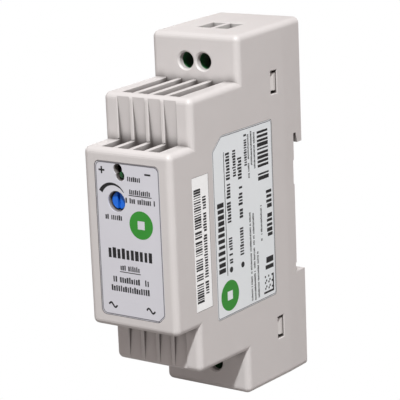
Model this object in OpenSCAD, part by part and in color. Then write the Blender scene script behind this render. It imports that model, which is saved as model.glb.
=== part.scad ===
// DIN rail power supply, a narrow module with a stepped two-piece plastic housing.
// It hooks on a 35 mm rail, has a sprung foot, and carries its circuit and screw terminals inside.
// X runs right as seen from the front, Y runs back towards the rail, Z runs up.
// The origin lies on the rail seat, level with the middle of the rail.

/* [Housing] */
// Width across the side walls, mm
body_w = 25; // [24:0.5:32]
// Height at the back, mm
body_h = 90; // [88:1:110]
// Depth from the nose to the back plane, mm
body_d = 56; // [54:1:68]
// Depth of the end blocks from the back plane, mm
tower_d = 27.5; // [27:0.5:34]
// Depth of the shoulders from the back plane, mm
shoulder_d = 47.4; // [44:0.2:50]
// Step in height from each end to the shoulder, mm
end_step = 12.2; // [11.5:0.1:13]
// Step in height from each shoulder to the nose, mm
nose_step = 11.25; // [9:0.25:12]
// Slope of the top and bottom faces, which open towards the back, degrees
draft = 1.4; // [0:0.1:2]
// Rounding of the outer edges, mm
edge_r = 1.5; // [0.6:0.1:2.4]
// Side wall thickness, mm
side_t = 1.5; // [1.2:0.1:1.8]

/* [Ventilation grooves] */
// Grooves across each shoulder
groove_n = 4; // [2:1:5]
// Width of a groove, mm
groove_w = 3.4; // [2:0.1:3.6]
// Width of the rib between two grooves, mm
groove_rib = 1.05; // [0.8:0.05:2]
// Depth of a groove, mm
groove_t = 1.3; // [0.5:0.1:1.6]
// Land left between a groove and a front edge, mm
groove_land = 1.7; // [1.5:0.1:3]
// Land left between an upright groove and the edge of the shoulder, mm
upright_land = 0.7; // [0.6:0.1:1.5]

/* [Rail fixing] */
// Height of the rail's middle above the bottom of the housing, mm
rail_height = 43.8; // [43:0.1:46]
// Width of the rail, mm
rail_w = 35; // [35:0.1:35.5]
// Thickness of the rail, mm
rail_t = 1; // [0.8:0.1:1.2]
// Depth of the rail channel in front of the back plane, mm
channel_d = 4; // [3.8:0.1:4.4]
// Width of the foot, mm
latch_w = 9.6; // [8:0.2:11.6]
// Length of the foot's tab below the housing, mm
latch_tab = 3; // [2.6:0.2:5]

/* [Terminals] */
// Distance between the two poles, mm
pole_pitch = 5.08; // [5:0.02:5.2]
// Distance of the screws from the end of the housing, mm
screw_inset = 7.4; // [7.2:0.1:7.8]
// Bore in the housing for the screwdriver, mm
access_d = 4.1; // [3.6:0.1:4.4]
// Thread diameter, mm
thread_d = 2.5; // [2:0.1:2.6]

/* [Front panel] */
// Trimmer position across the front, mm
trimmer_x = -3.33; // [-3.8:0.01:-3.3]
// Trimmer height above the middle of the housing, mm
trimmer_z = 9.2; // [8:0.1:10]
// Bore for the trimmer, mm
trimmer_bore = 4.8; // [4.5:0.1:5.4]
// Lamp height above the middle of the housing, mm
lamp_z = 15.4; // [15:0.1:15.6]

/* [Circuit board] */
// Thickness of the main board, mm
board_t = 1.6; // [1.2:0.2:1.8]
// Height of the bulk capacitor, mm
bulk_h = 20; // [14:1:25]
// Height of the transformer core, mm
core_h = 16; // [14:0.5:17]

/* [Hidden] */

$fn = 48;
far = 200;
side_gap = 0.1;
lip = 0.22;
slope = tan(draft);

// Main planes of the housing
back_y = channel_d;
nose_y = back_y - body_d;
shoulder_y = back_y - shoulder_d;
tower_y = back_y - tower_d;
bottom_z = -rail_height;
top_z = bottom_z + body_h;
mid_z = (bottom_z + top_z) / 2;
inner_x = body_w / 2 - side_t;

// Walls of the cover and the narrowing of its sides at the back
end_t = 1.6;
tower_t = 1.7;
stepped_t = 2.6;
nose_t = 2;
taper_y = back_y - 8.1;
taper_in = 0.35;

// Rail channel
ledge_z = -rail_w / 2 - 0.3;
hook_z = rail_w / 2 + 0.3;
lip_z = hook_z - 2.6;
relief_z = [[4.9, 11], [ledge_z, ledge_z + 2.4]];
relief_t = 0.4;

// Main board, and the space behind it
board_gap = 4.8;
board_rear = -board_gap;
board_y = board_rear - board_t;
board_x = inner_x - 0.6;
board_z = [bottom_z + 1.9, top_z - 2.3];
lead_d = 0.6;
lead_out = 1;
base_t = 2;
base_x = inner_x - side_gap;
foot_x = 8.6;

// Snap arms of the base, and their windows in the cover
arm_t = 1.2;
arm_half = 2.6;
arm_z = [bottom_z + 13.85, top_z - 14.15];
window_y = [-9.7, -7];
window_half = 2.8;

// Foot and its channel
latch_y = [0.2, 3.8];
wing_x = latch_w / 2 + 2.2;
wing_y = 2;
wing_z = [bottom_z + 0.4, ledge_z - 2];
run_gap = 0.15;
spring_r = 1.55;
wire_r = 0.25;
spring_y = 0.6;
spring_z = [bottom_z + 8.4, bottom_z + 19.8];
spring_turns = 6;
pocket_x = 2.2;
post_h = 1.6;

// Terminals
block_w = 2 * pole_pitch;
block_z = [top_z - 12.2, top_z - 2.4];
block_y = tower_y + tower_t + 0.3;
screw_z = top_z - screw_inset;
head_y = block_y + 3.8;
head_h = 1.7;
head_d = 3.8;
shelf_t = 1;
cage_front_t = 1.2;
cage_back_t = 0.8;
cage_travel = 1.8;
cage_w = 3.8;
cage_half_z = 2.3;
cage_front = head_y + head_h + shelf_t + cage_travel + 0.2;
cage_back = board_y - 1;
bar_y = [cage_front + cage_front_t + 0.5, cage_front + cage_front_t + 1.2];
bar_w = 2.2;
pin_z = block_z[0] + 1.4;
entry_y = [bar_y[1] - 0.1, cage_back - cage_back_t + 0.1];

// Wire windows in the top and bottom of the cover
wire_window_w = 4.2;
wire_window_y = [-15.8, -8.3];

// Control board and its front parts; the pins are [depth behind the front face, height off centre]
control_x = [-0.2, 1];
control_pins = [[1.5, -2.2], [1.5, 2.2], [3.4, 0]];
pin_d = 0.5;
control_front = nose_y + nose_t + 0.8;
control_leg = [mid_z + 18, mid_z + 25.8];
control_arm = [mid_z + 3.8, mid_z + 18.3];
control_back = board_y - 23;
control_tabs = [control_leg[0] + 1.2, control_leg[1] - 2.7];
tab_w = 1.5;
trimmer_size = 6;
trimmer_front = nose_y + nose_t + 0.4;
trimmer_depth = 4.6;
rotor_d = 3.9;
rotor_front = nose_y + 1.1;
lamp_x = -2;
lamp_d = 2;
lamp_bore = 2.4;
lamp_flange_y = nose_y + nose_t + 0.3;
lamp_lead_y = lamp_flange_y + 2.4;
lamp_lead_z = 0.7;

// Labels
label_w = 18.6;
label_h = 37.2;
label_gap = 0.1;
label_recess = 0.4;
label_t = 0.25;
rating_w = 25.6;
rating_h = 44.3;
rating_y = back_y - 26.7;
rating_recess = 0.25;
rating_t = 0.2;
serial_w = 6.4;
serial_h = 32;
serial_recess = 0.12;
serial_t = 0.1;
serial_y = nose_y + 11.3;
serial_z = mid_z - 1.6;

// Places of the parts on the main board, as [across, up]
fuse_at = [-5.2, bottom_z + 17.3];
thermistor_at = [5, bottom_z + 16.9];
varistor_at = [7.9, bottom_z + 7.4];
filter_at = [-3.7, bottom_z + 24.9];
isolation_at = [6.7, bottom_z + 22.4];
snubber_at = [6.5, bottom_z + 26.6];
choke_at = [-5.1, mid_z - 11.7];
bridge_at = [5.6, mid_z - 13.6];
bulk_at = [5.6, mid_z - 4.8];
controller_at = [-5.4, mid_z - 2.1];
transformer_at = [0, mid_z + 9.7];
diode_z = top_z - 22.2;
large_cap_at = [5.7, top_z - 22.9];
small_cap_at = [5.8, top_z - 15.7];
output_choke_at = [-2.4, top_z - 14.9];

// Chip parts on the back of the main board, as [across, up]
resistor_chips = [
    [-7.4, bottom_z + 12], [-1.2, bottom_z + 20.6], [-5.1, mid_z - 10.7], [1.2, mid_z - 8],
    [1.6, mid_z + 0.2], [8, mid_z + 5], [-3.8, mid_z + 7.6], [3.8, mid_z + 11.6], [-7.8, top_z - 15.4]
];
capacitor_chips = [
    [1.4, bottom_z + 20.6], [-5, mid_z + 12], [5.6, mid_z + 7.8], [1.4, top_z - 15.8], [-3.4, top_z - 24.4]
];

// Sizes of the parts on the main board
bulk_d = 10;
large_cap = [8, 16];
small_cap = [6.3, 11];
sink_x = [-10.4, -9];
sink_half = 5;
sink_h = 24;
sink_screw_h = 17.8;
choke_ring = [2.1, 4.2];
choke_h = [2, 6.6];
core_base = 3;
core_half_x = 9.5;
core_half_z = 2.5;
yoke_t = 2.4;
centre_half = 2.4;
bobbin_h = [core_base + yoke_t + 0.2, core_base + core_h - yoke_t - 0.2];
flange_t = 0.8;
winding_x = 6.6;
winding_z = 6.1;
winding_r = 2.4;
tape_t = 0.25;

// Leads through the main board, as [across, up]
function pair_x(c, d) = [[c[0] - d, c[1]], [c[0] + d, c[1]]];
function pair_z(c, d) = [[c[0], c[1] - d], [c[0], c[1] + d]];
function rows(c, n, pitch, half) =
    [for (s = [-1, 1], i = [0 : n - 1]) [c[0] + (i - (n - 1) / 2) * pitch, c[1] + s * half]];
fuse_leads = pair_x(fuse_at, 2.54);
thermistor_leads = pair_x(thermistor_at, 2.5);
varistor_leads = pair_z(varistor_at, 2.5);
filter_leads = pair_x(filter_at, 5);
isolation_leads = pair_x(isolation_at, 2.5);
snubber_leads = pair_x(snubber_at, 3);
choke_leads = rows(choke_at, 2, 7.4, 3.4);
bridge_leads = rows(bridge_at, 2, 5.08, 3.1);
bulk_leads = pair_x(bulk_at, 2.5);
controller_leads = rows(controller_at, 4, 2.54, 3.81);
transformer_leads = rows(transformer_at, 4, 3.8, 6.2);
diode_leads = [for (i = [-1 : 1]) [-6.3, diode_z + i * 2.54]];
large_cap_leads = pair_x(large_cap_at, 1.75);
small_cap_leads = pair_x(small_cap_at, 1.25);
output_choke_leads = pair_z(output_choke_at, 1.25);
round_leads = concat(fuse_leads, thermistor_leads, varistor_leads, filter_leads, isolation_leads,
    snubber_leads, choke_leads, bridge_leads, bulk_leads, controller_leads, transformer_leads,
    diode_leads, large_cap_leads, small_cap_leads, output_choke_leads);

// Half height of each block of the housing at depth y
function tower_half(y) = body_h / 2 - slope * (back_y - y);
function shoulder_half(y) = body_h / 2 - end_step + slope * (y - shoulder_y);
function nose_half(y) = body_h / 2 - end_step - nose_step + slope * (y - nose_y);

// A profile drawn as [y, z] points, made w wide and centred across the part
module across(w) {
    rotate([90, 0, 90]) linear_extrude(w, center = true) children();
}

// A box between two values on each axis
module span(x, y, z) {
    translate([x[0], y[0], z[0]]) cube([x[1] - x[0], y[1] - y[0], z[1] - z[0]]);
}

// A round bar along Y
module rod(d, y, x, z) {
    translate([x, y[0], z]) rotate([-90, 0, 0]) cylinder(d = d, h = y[1] - y[0]);
}

// Children placed on the front of the main board, with their own Z pointing forwards
module on_board(at) {
    translate([at[0], board_y, at[1]]) rotate([90, 0, 0]) children();
}

// Children repeated for the lower end of the housing
module at_bottom() {
    translate([0, 0, 2 * mid_z]) mirror([0, 0, 1]) children();
}

// Both halves of a thing that the housing has at its top and its bottom
module both_ends() {
    children();
    at_bottom() children();
}

// Round leads that stand h above the board and stick out behind it
module leads(places, h) {
    for (p = places) rod(lead_d, [board_y - h, board_rear + lead_out], p[0], p[1]);
}

// One block of the housing, with rounded front and side edges
module block(front, rear, half_front, half_rear, narrow_from, narrow) {
    hull() for (sx = [-1, 1], sz = [-1, 1]) {
        for (a = [0 : 18 : 90]) {
            disc_y = front + edge_r * (1 - cos(a));
            rounded_disc(sx, sz, disc_y, half_front, max(0.02, edge_r * sin(a)), 0);
        }
        rounded_disc(sx, sz, narrow_from, half_rear - slope * (rear - narrow_from), edge_r, 0);
        rounded_disc(sx, sz, rear - 0.01, half_rear, edge_r, narrow);
    }
}

module rounded_disc(sx, sz, y, half, r, narrow) {
    x = sx * (body_w / 2 - narrow - edge_r);
    rod(2 * r, [y, y + 0.01], x, mid_z + sz * (half - edge_r), $fn = 32);
}

module outer_blocks() {
    overlap_y = tower_y + 4;
    block(tower_y, back_y, tower_half(tower_y), tower_half(back_y), taper_y, taper_in);
    block(shoulder_y, overlap_y, shoulder_half(shoulder_y), shoulder_half(overlap_y), overlap_y - 1, 0);
    block(nose_y, overlap_y, nose_half(nose_y), nose_half(overlap_y), overlap_y - 1, 0);
}

// Hollow of the cover, as [y, z] points of its upper half
function cavity_half() = [
    [nose_y + nose_t, nose_half(nose_y) - stepped_t],
    [shoulder_y + stepped_t, nose_half(shoulder_y) - stepped_t],
    [shoulder_y + stepped_t, shoulder_half(shoulder_y) - stepped_t],
    [tower_y + tower_t, shoulder_half(tower_y) - stepped_t],
    [tower_y + tower_t, tower_half(tower_y) - end_t],
    [back_y + 1, tower_half(back_y + 1) - end_t]
];

module cavity() {
    upper = [for (p = cavity_half()) [p[0], mid_z + p[1]]];
    lower = [for (i = [len(upper) - 1 : -1 : 0]) [upper[i][0], 2 * mid_z - upper[i][1]]];
    across(2 * inner_x) polygon(concat(upper, lower));
}

// The channel for the rail, cut right across the housing
module rail_channel() {
    mouth = rail_t + 0.9;
    across(far) polygon([
        [0, ledge_z], [back_y + 1, ledge_z], [back_y + 1, lip_z], [mouth, lip_z],
        [rail_t + 0.15, hook_z], [0, hook_z]
    ]);
    for (z = relief_z) span([-far, far], [-relief_t, 1], z);
}

// Softens the lips of a slot w by l in a face, drawn from the slot's middle on that face
module soft_lip(w, l) {
    corners = [[-1, -1], [1, -1], [1, 1], [-1, 1]];
    inner = [for (c = corners) [c[0] * w / 2, c[1] * l / 2, -lip]];
    outer = [for (c = corners) [c[0] * (w / 2 + 2 * lip), c[1] * (l / 2 + 2 * lip), lip]];
    polyhedron(concat(inner, outer), [
        [0, 1, 2, 3], [7, 6, 5, 4], [0, 4, 5, 1], [1, 5, 6, 2], [2, 6, 7, 3], [3, 7, 4, 0]
    ]);
}

// Lips of a slot in a top face, whose half height at depth y is half_at
module top_lip(x, y, half_at) {
    translate([(x[0] + x[1]) / 2, (y[0] + y[1]) / 2, mid_z + half_at]) rotate([draft, 0, 0])
        soft_lip(x[1] - x[0], y[1] - y[0]);
}

// Left edges of the ventilation grooves
function groove_x(i) = (i - groove_n / 2) * (groove_w + groove_rib) + groove_rib / 2;

// The floor of an upright groove leans, so that it runs out just short of the edge of the shoulder
module grooves() {
    for (i = [0 : groove_n - 1]) {
        x = [groove_x(i), groove_x(i) + groove_w];
        shoulder_top = mid_z + shoulder_half(shoulder_y);
        nose_floor = mid_z + nose_half(nose_y) - groove_t;
        long_y = [shoulder_y + groove_land, tower_y];
        short_y = [nose_y + groove_land, shoulder_y];
        upright_z = [mid_z + nose_half(shoulder_y) + lip, shoulder_top - upright_land];
        span(x, long_y, [shoulder_top - groove_t, top_z]);
        translate([x[0], 0, 0]) rotate([90, 0, 90]) linear_extrude(groove_w) polygon([
            [short_y[0], nose_floor], [shoulder_y + groove_t - 0.1, nose_floor],
            [shoulder_y + lip, upright_z[1]], [short_y[0], upright_z[1]]
        ]);
        lip_y = [long_y[0], tower_y - 2 * lip];
        top_lip(x, lip_y, shoulder_half((lip_y[0] + lip_y[1]) / 2));
        top_lip(x, short_y, nose_half((short_y[0] + short_y[1]) / 2));
        translate([(x[0] + x[1]) / 2, shoulder_y, (upright_z[0] + upright_z[1]) / 2]) rotate([90, 0, 0])
            soft_lip(x[1] - x[0], upright_z[1] - upright_z[0]);
    }
}

// Outline of the front label, with one corner cut off
module front_outline(gap) {
    w = label_w / 2 - gap;
    h = label_h / 2 - gap;
    cut = 1.8;
    offset(1.4) offset(delta = -1.4) polygon([[-w, -h], [w - cut, -h], [w, -h + cut], [w, h], [-w, h]]);
}

// Openings of the front panel: the trimmer bore and the double bore of the lamp
module front_openings(gap) {
    y = [nose_y - 1, nose_y + nose_t + 1];
    rod(trimmer_bore + gap, y, trimmer_x, mid_z + trimmer_z);
    rod(lamp_bore + gap, y, lamp_x, mid_z + lamp_z);
    rod(lamp_bore + gap, y, lamp_x - 0.6, mid_z + lamp_z + 1.5);
}

// Outline of the rating label in [y, z], with its upper front corner cut off
module rating_outline(gap) {
    w = rating_w / 2 - gap;
    h = rating_h / 2 - gap;
    offset(0.8) offset(delta = -0.8)
        polygon([[-w, -h], [w, -h], [w, h], [-w + 3.8, h], [-w, h - 3.2]]);
}

module on_right_side(x, y, z, t) {
    translate([x, y, z]) rotate([90, 0, 90]) linear_extrude(t) children();
}

// A screw access bore with a softened rim
module access_bore(x) {
    rim = 0.4;
    rod(access_d, [tower_y - 1, tower_y + tower_t + 1], x, screw_z);
    translate([x, tower_y - 0.01, screw_z]) rotate([-90, 0, 0])
        cylinder(d1 = access_d + 2 * rim, d2 = access_d, h = rim);
}

module housing_cover() {
    pad_y = [board_y - 3.2, board_y - 0.1];
    color([0.74, 0.72, 0.7]) difference() {
        union() {
            difference() {
                outer_blocks();
                cavity();
            }
            for (s = [-1, 1], z = [board_z[0] + 0.8, board_z[1] - 3.8]) {
                x = [inner_x - 1, inner_x + 0.1];
                span(s > 0 ? x : [-x[1], -x[0]], pad_y, [z, z + 3]);
            }
        }
        rail_channel();
        both_ends() grooves();
        both_ends() for (s = [-1, 1]) {
            access_bore(s * pole_pitch / 2);
            x = [s * pole_pitch / 2 - wire_window_w / 2, s * pole_pitch / 2 + wire_window_w / 2];
            span(x, wire_window_y, [top_z - 3, top_z + 1]);
            top_lip(x, wire_window_y, tower_half((wire_window_y[0] + wire_window_y[1]) / 2));
        }
        for (s = [-1, 1], z = arm_z) {
            x = [inner_x - 0.1, body_w / 2 + 1];
            span(s > 0 ? x : [-x[1], -x[0]], window_y, [z - window_half, z + window_half]);
            translate([s * body_w / 2, (window_y[0] + window_y[1]) / 2, z]) rotate([0, s * 90, 0])
                soft_lip(2 * window_half, window_y[1] - window_y[0]);
        }
        end_x = foot_x + side_gap;
        span([-end_x, end_x], [-base_t - side_gap, back_y + 1], [bottom_z - 1, bottom_z + 2.5]);
        translate([0, nose_y + label_recess, mid_z]) rotate([90, 0, 0])
            linear_extrude(2) front_outline(0);
        front_openings(0);
        on_right_side(body_w / 2 - rating_recess, rating_y, mid_z, 1) rating_outline(0);
        on_right_side(body_w / 2 - serial_recess, serial_y, serial_z, 1)
            square([serial_w + 2 * label_gap, serial_h + 2 * label_gap], center = true);
    }
}

// Profile of the foot in [y, z]
function latch_profile() = [
    [latch_y[0], bottom_z - latch_tab + 0.6], [latch_y[0] + 0.6, bottom_z - latch_tab],
    [latch_y[1], bottom_z - latch_tab], [latch_y[1], ledge_z - 0.2],
    [latch_y[1] - 1.6, ledge_z + 2.1], [rail_t + 0.15, ledge_z + 2.1],
    [rail_t + 0.15, ledge_z - 0.1], [latch_y[0], ledge_z - 0.1]
];

module rail_latch() {
    slot_half = latch_w / 4;
    color([0.16, 0.16, 0.17]) difference() {
        union() {
            across(latch_w) polygon(latch_profile());
            span([-wing_x, wing_x], [latch_y[0], wing_y], wing_z);
        }
        span([-pocket_x, pocket_x], [-1, 2.6], [spring_z[0] - post_h - 1, spring_z[1]]);
        span([-slot_half, slot_half], [-1, far], [bottom_z - latch_tab + 0.8, bottom_z - latch_tab + 2.1]);
    }
}

// Slice across the spring wire, drawn as the crescent that a level cut leaves
module wire_slice(r, wire, pitch) {
    half_turn = 360 * wire / pitch;
    steps = 6;
    outer = [for (i = [-steps : steps])
        let (a = half_turn * i / steps, t = wire * sqrt(1 - pow(i / steps, 2)))
        [(r + t) * cos(a), (r + t) * sin(a)]];
    inner = [for (i = [steps - 1 : -1 : 1 - steps])
        let (a = half_turn * i / steps, t = wire * sqrt(1 - pow(i / steps, 2)))
        [(r - t) * cos(a), (r - t) * sin(a)]];
    polygon(concat(outer, inner));
}

module latch_spring() {
    length = spring_z[1] - spring_z[0];
    end_t = 2 * wire_r;
    color([0.7, 0.71, 0.73]) translate([0, spring_y, spring_z[0]]) {
        translate([0, 0, wire_r]) linear_extrude(length - end_t, twist = -360 * spring_turns,
            slices = 20 * spring_turns, convexity = 8)
            wire_slice(spring_r, wire_r, (length - end_t) / spring_turns);
        for (z = [wire_r, length - wire_r])
            translate([0, 0, z]) rotate_extrude() translate([spring_r, 0]) circle(wire_r, $fn = 16);
    }
}

// Channel of the foot through the lower part of the base
module latch_channel() {
    span([-wing_x - run_gap, wing_x + run_gap], [latch_y[0] - run_gap, wing_y + run_gap],
        [bottom_z - 1, wing_z[1] + 0.2]);
    span([-latch_w / 2 - run_gap, latch_w / 2 + run_gap], [latch_y[0] - run_gap, back_y + 1],
        [bottom_z - 1, ledge_z + 1]);
}

module snap_arm(s, z) {
    x = [base_x - arm_t, base_x];
    nub = [base_x, body_w / 2 - 0.4];
    span(s > 0 ? x : [-x[1], -x[0]], [window_y[0] + 0.2, -base_t + 0.1], [z - arm_half, z + arm_half]);
    translate([0, 0, z - 2.1]) linear_extrude(4.2) polygon([
        [s * (nub[0] - 0.1), window_y[0] + 0.2], [s * (nub[0] + 0.4), window_y[0] + 0.2],
        [s * nub[1], window_y[1] - 0.9], [s * nub[1], window_y[1] - 0.2],
        [s * (nub[0] - 0.1), window_y[1] - 0.2]
    ]);
}

module rear_base() {
    base_z = [bottom_z + end_t + 0.2, top_z - end_t - 0.3];
    core_y = [-base_t - 1, back_y - 1.6];
    post_x = [board_x - 1.2, board_x];
    color([0.7, 0.68, 0.66]) {
        difference() {
            union() {
                span([-base_x, base_x], [-base_t, back_y], base_z);
                span([-foot_x, foot_x], [-base_t, back_y], [bottom_z, base_z[0] + 1]);
                for (s = [-1, 1], z = arm_z) snap_arm(s, z);
                for (s = [-1, 1], z = [board_z[0] + 4, mid_z - 4.6, mid_z + 12, board_z[1] - 8])
                    span(s > 0 ? post_x : [-post_x[1], -post_x[0]], [board_rear, -base_t + 0.1], [z, z + 5]);
            }
            rail_channel();
            for (s = [-1, 1]) {
                x = [0.8, base_x - 2.6];
                span(s > 0 ? x : [-x[1], -x[0]], core_y, [hook_z + 1.8, base_z[1] - 1.8]);
            }
            latch_channel();
            span([-pocket_x, pocket_x], [spring_y - spring_r - wire_r - 0.15, 1],
                [spring_z[0], spring_z[1] + 0.3]);
        }
        span([-pocket_x + 0.3, pocket_x - 0.3], [-0.5, 2.3], [spring_z[0] - post_h, spring_z[0]]);
    }
}

module front_label() {
    color([0.78, 0.79, 0.81]) difference() {
        translate([0, nose_y + label_recess, mid_z]) rotate([90, 0, 0])
            linear_extrude(label_t) front_outline(label_gap);
        front_openings(0.2);
    }
}

module rating_label() {
    color([0.86, 0.86, 0.87]) on_right_side(body_w / 2 - rating_recess, rating_y, mid_z, rating_t)
        rating_outline(label_gap);
}

module serial_label() {
    color([0.95, 0.95, 0.95]) on_right_side(body_w / 2 - serial_recess, serial_y, serial_z, serial_t)
        square([serial_w, serial_h], center = true);
}

module main_board() {
    color([0.1, 0.36, 0.18]) difference() {
        span([-board_x, board_x], [board_y, board_rear], board_z);
        for (s = [-1, 1], z = arm_z) {
            x = [base_x - arm_t - 0.3, far];
            span(s > 0 ? x : [-x[1], -x[0]], [-far, far], [z - arm_half - 0.3, z + arm_half + 0.3]);
        }
        for (p = round_leads) rod(lead_d + 0.4, [board_y - 1, board_rear + 1], p[0], p[1]);
        both_ends() for (s = [-1, 1])
            rod(1.5, [board_y - 1, board_rear + 1], s * pole_pitch / 2, pin_z);
        for (z = control_tabs)
            span([control_x[0] - 0.15, control_x[1] + 0.15], [-far, far], [z - 0.15, z + tab_w + 0.15]);
    }
}

module control_board() {
    step_y = shoulder_y + stepped_t + 0.6;
    color([0.12, 0.4, 0.2]) difference() {
        union() {
            translate([control_x[0], 0, 0]) rotate([90, 0, 90]) linear_extrude(control_x[1] - control_x[0])
                polygon([
                    [control_front, control_arm[0]], [control_front, control_arm[1]],
                    [step_y, control_arm[1]], [step_y, control_leg[1]], [board_y, control_leg[1]],
                    [board_y, control_leg[0]], [control_back, control_leg[0]], [control_back, control_arm[0]]
                ]);
            for (z = control_tabs) span(control_x, [board_y - 0.1, board_rear + 0.4], [z, z + tab_w]);
        }
        for (p = control_pins)
            translate([control_x[0] - 1, trimmer_front + p[0], mid_z + trimmer_z + p[1]]) rotate([0, 90, 0])
                cylinder(d = pin_d + 0.3, h = 4, $fn = 16);
        for (s = [-1, 1]) {
            z = mid_z + lamp_z + s * lamp_lead_z;
            span([-far, far], [lamp_lead_y - 0.35, lamp_lead_y + 0.35], [z - 0.35, z + 0.35]);
        }
    }
}

module solder_cone(x, z) {
    translate([x, board_rear, z]) rotate([-90, 0, 0]) difference() {
        cylinder(r1 = 0.85, r2 = 0.45, h = 0.8, $fn = 24);
        translate([0, 0, -1]) cylinder(d = lead_d + 0.06, h = 3, $fn = 24);
    }
}

module solder_joints() {
    color([0.75, 0.76, 0.78]) for (p = round_leads) solder_cone(p[0], p[1]);
}

module chips(places, t) {
    for (p = places) span([p[0] - 1, p[0] + 1], [board_rear, board_rear + t], [p[1] - 0.6, p[1] + 0.6]);
}

module chip_resistors() {
    color([0.12, 0.12, 0.13]) chips(resistor_chips, 0.55);
}

module chip_capacitors() {
    color([0.62, 0.5, 0.36]) chips(capacitor_chips, 0.9);
}

// One two-pole terminal body, open for its screws, clamps, contacts and wires
module terminal_block() {
    difference() {
        span([-block_w / 2, block_w / 2], [block_y, board_y], block_z);
        for (s = [-1, 1]) {
            x = s * pole_pitch / 2;
            cage_x = [x - cage_w / 2 - 0.12, x + cage_w / 2 + 0.12];
            cage_z = [screw_z - cage_half_z - 0.2, screw_z + cage_half_z + 0.2];
            rod(head_d + 0.6, [block_y - 1, head_y + head_h], x, screw_z);
            rod(thread_d + 0.12, [head_y, cage_front], x, screw_z);
            span(cage_x, [cage_front - cage_travel - 0.15, cage_back + 0.2], cage_z);
            bar_x = [x - bar_w / 2 - 0.1, x + bar_w / 2 + 0.1];
            span(bar_x, [bar_y[0] - 0.1, bar_y[1] + 0.1], [pin_z - 0.6, block_z[1] + 1]);
            span([x - 0.75, x + 0.75], [bar_y[0] - 0.1, board_y + 1], [pin_z - 0.6, pin_z + 0.6]);
            span([x - 1.6, x + 1.6], entry_y, [screw_z, block_z[1] + 1]);
            span([x - 2, x + 2], [entry_y[0] - 2.4, entry_y[1] + 0.5], [block_z[1] - 0.8, block_z[1] + 1]);
        }
    }
}

// The fixed contact of one pole: a bar inside the clamp and a pin through the board
module contact(s) {
    x = s * pole_pitch / 2;
    span([x - bar_w / 2, x + bar_w / 2], bar_y, [pin_z - 0.4, block_z[1] - 1.2]);
    span([x - 0.5, x + 0.5], [bar_y[0], board_rear + lead_out], [pin_z - 0.4, pin_z + 0.4]);
}

// A clamp screw with a driver slot, held in the terminal body and threaded in its cage
module clamp_screw(s) {
    x = s * pole_pitch / 2;
    tip_y = bar_y[0] - 0.25;
    color([0.78, 0.78, 0.76]) difference() {
        union() {
            rod(head_d, [head_y, head_y + head_h - 0.05], x, screw_z);
            rod(thread_d, [head_y + 0.5, tip_y], x, screw_z);
        }
        span([x - 0.35, x + 0.35], [head_y - 1, head_y + 0.9], [screw_z - 3, screw_z + 3]);
    }
}

// A rising cage that draws the wire against the contact
module clamp_cage(s) {
    x = s * pole_pitch / 2;
    wall = 0.6;
    z = [screw_z - cage_half_z, screw_z + cage_half_z];
    color([0.72, 0.66, 0.5]) difference() {
        span([x - cage_w / 2, x + cage_w / 2], [cage_front, cage_back], z);
        span([x - cage_w / 2 + wall, x + cage_w / 2 - wall],
            [cage_front + cage_front_t, cage_back - cage_back_t], [z[0] - 1, z[1] + 1]);
        rod(thread_d + 0.1, [cage_front - 1, cage_front + 2], x, screw_z);
    }
}

module trimmer_body() {
    y = [trimmer_front, trimmer_front + trimmer_depth];
    z = mid_z + trimmer_z;
    half = trimmer_size / 2;
    color([0.05, 0.3, 0.75]) difference() {
        union() {
            span([trimmer_x - half, trimmer_x + half], y, [z - half, z + half]);
            for (p = control_pins)
                translate([trimmer_x + 2, y[0] + p[0], z + p[1]]) rotate([0, 90, 0])
                    cylinder(d = pin_d, h = control_x[1] + 0.6 - trimmer_x - 2, $fn = 16);
        }
        rod(rotor_d + 0.12, [y[0] - 1, y[0] + 1.3], trimmer_x, z);
        translate([trimmer_x - half - 1, y[0] - 1, z - half - 1]) cube([1.6, far, 1.6]);
    }
}

module trimmer_rotor() {
    z = mid_z + trimmer_z;
    color([0.08, 0.36, 0.85]) difference() {
        rod(rotor_d, [rotor_front, trimmer_front + 1.2], trimmer_x, z);
        span([trimmer_x - 0.4, trimmer_x + 0.4], [rotor_front - 1, rotor_front + 0.9], [z - 3, z + 3]);
    }
}

module status_lamp() {
    z = mid_z + lamp_z;
    tip_y = nose_y + 0.6;
    half = 0.2;
    color([0.1, 0.45, 0.15]) {
        translate([lamp_x, tip_y + lamp_d / 2, z]) sphere(d = lamp_d);
        rod(lamp_d, [tip_y + lamp_d / 2, lamp_flange_y + 0.1], lamp_x, z);
        rod(lamp_d + 0.8, [lamp_flange_y, lamp_flange_y + 0.8], lamp_x, z);
        for (s = [-1, 1]) {
            lead_z = [z + s * lamp_lead_z - half, z + s * lamp_lead_z + half];
            span([lamp_x - half, lamp_x + half], [lamp_flange_y + 0.4, lamp_lead_y + half], lead_z);
            span([lamp_x - half, control_x[1] + 0.6], [lamp_lead_y - half, lamp_lead_y + half], lead_z);
        }
    }
}

// Four-lead optocoupler, flat on the right face of the control board
module optocoupler() {
    y = shoulder_y + stepped_t + 2.6;
    z = control_leg[0] + 1.6;
    color([0.9, 0.9, 0.88]) {
        span([control_x[1] + 0.1, control_x[1] + 2.1], [y, y + 4.6], [z, z + 4.4]);
        for (dy = [0.8, 3.4], s = [-1, 1]) {
            edge = s > 0 ? z + 4.3 : z - 0.8;
            span([control_x[1], control_x[1] + 0.3], [y + dy, y + dy + 0.5], [edge, edge + 0.9]);
        }
    }
}

// Small shunt reference on the left face of the control board
module voltage_reference() {
    y = control_front + 6.4;
    z = mid_z + 6.8;
    color([0.13, 0.13, 0.14]) {
        span([control_x[0] - 1.1, control_x[0] - 0.1], [y, y + 2.9], [z, z + 1.4]);
        for (p = [[0.3, -0.5], [2.2, -0.5], [1.25, 1.3]])
            span([control_x[0] - 0.2, control_x[0]], [y + p[0], y + p[0] + 0.4], [z + p[1], z + p[1] + 0.6]);
    }
}

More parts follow.
